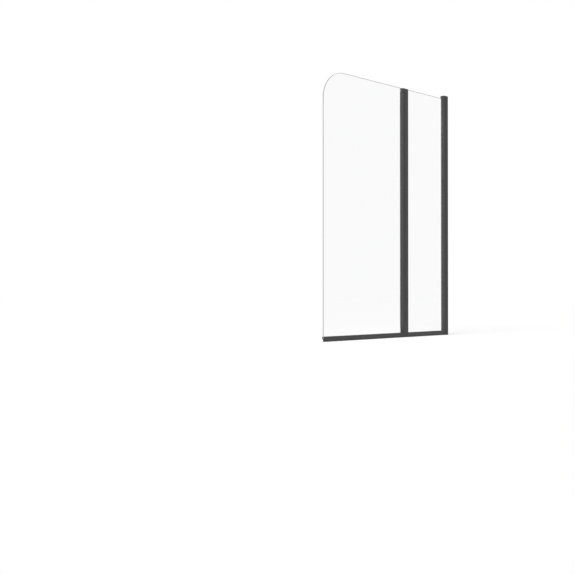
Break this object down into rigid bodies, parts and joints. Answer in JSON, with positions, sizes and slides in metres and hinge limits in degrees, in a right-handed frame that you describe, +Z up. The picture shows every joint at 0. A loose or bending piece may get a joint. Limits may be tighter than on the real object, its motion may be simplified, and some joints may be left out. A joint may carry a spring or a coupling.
{
  "type": "bath screen",
  "caption": "Folding bath screen: a fixed glass panel in an adjustable wall channel and a glass door with a rounded corner on a full-height pivot barrel, with wiper seals along the rim.",
  "frame": {"origin": "wall face of the wall channel, mid-depth, at the level of the bath rim", "axes": "+X points into the wall, so the screen runs towards -X; +Y points to the bath side and -Y to the room; +Z is up"},
  "size_m": [1, 0.0292, 1.4035],
  "materials": {
    "black_profile": "matte black powder coat on extruded aluminium",
    "black_casting": "matte black powder coat on cast metal",
    "clear_glass": "clear toughened safety glass with ground edges",
    "black_rubber": "soft black extruded rubber",
    "black_nylon": "moulded black nylon with a fine grain",
    "stainless_steel": "stainless steel"
  },
  "bodies": {
    "wall_frame": {"wall_channel": "black_profile", "wall_top_cap": "black_nylon", "wall_lock_screws": "stainless_steel"},
    "fixed_frame": {"adjuster_profile": "black_profile", "adjuster_top_plug": "black_nylon", "adjuster_gasket_front": "black_rubber", "adjuster_gasket_back": "black_rubber", "fixed_glass": "clear_glass", "hinge_post": "black_profile", "post_gasket_front": "black_rubber", "post_gasket_back": "black_rubber", "post_wiper": "black_rubber", "hinge_top_cap": "black_casting", "top_cap_screws": "stainless_steel", "top_bush": "black_nylon", "hinge_base": "black_casting", "base_screws": "stainless_steel", "hinge_base_shoe": "black_rubber", "bottom_bush": "black_nylon", "fixed_rail": "black_profile", "fixed_rail_gasket_front": "black_rubber", "fixed_rail_gasket_back": "black_rubber", "fixed_seal": "black_rubber", "fixed_setting_blocks": "black_nylon"},
    "door": {"door_stile": "black_profile", "stile_gasket_front": "black_rubber", "stile_gasket_back": "black_rubber", "door_glass": "clear_glass", "top_pin": "stainless_steel", "bottom_pin": "stainless_steel", "door_rail": "black_profile", "door_rail_gasket_front": "black_rubber", "door_rail_gasket_back": "black_rubber", "door_seal": "black_rubber", "door_setting_blocks": "black_nylon", "door_rail_end_cap": "black_nylon"}
  },
  "joints": [
    {"name": "wall_adjust", "type": "slide", "parent": "wall_frame", "child": "fixed_frame", "axis": [-1, 0, 0], "range_m": [0, 0.015]},
    {"name": "door_swing", "type": "hinge", "parent": "fixed_frame", "child": "door", "pos_m": [-0.3935, 0, 0.7], "axis": [0, 0, 1], "range_deg": [-90, 90]}
  ]
}
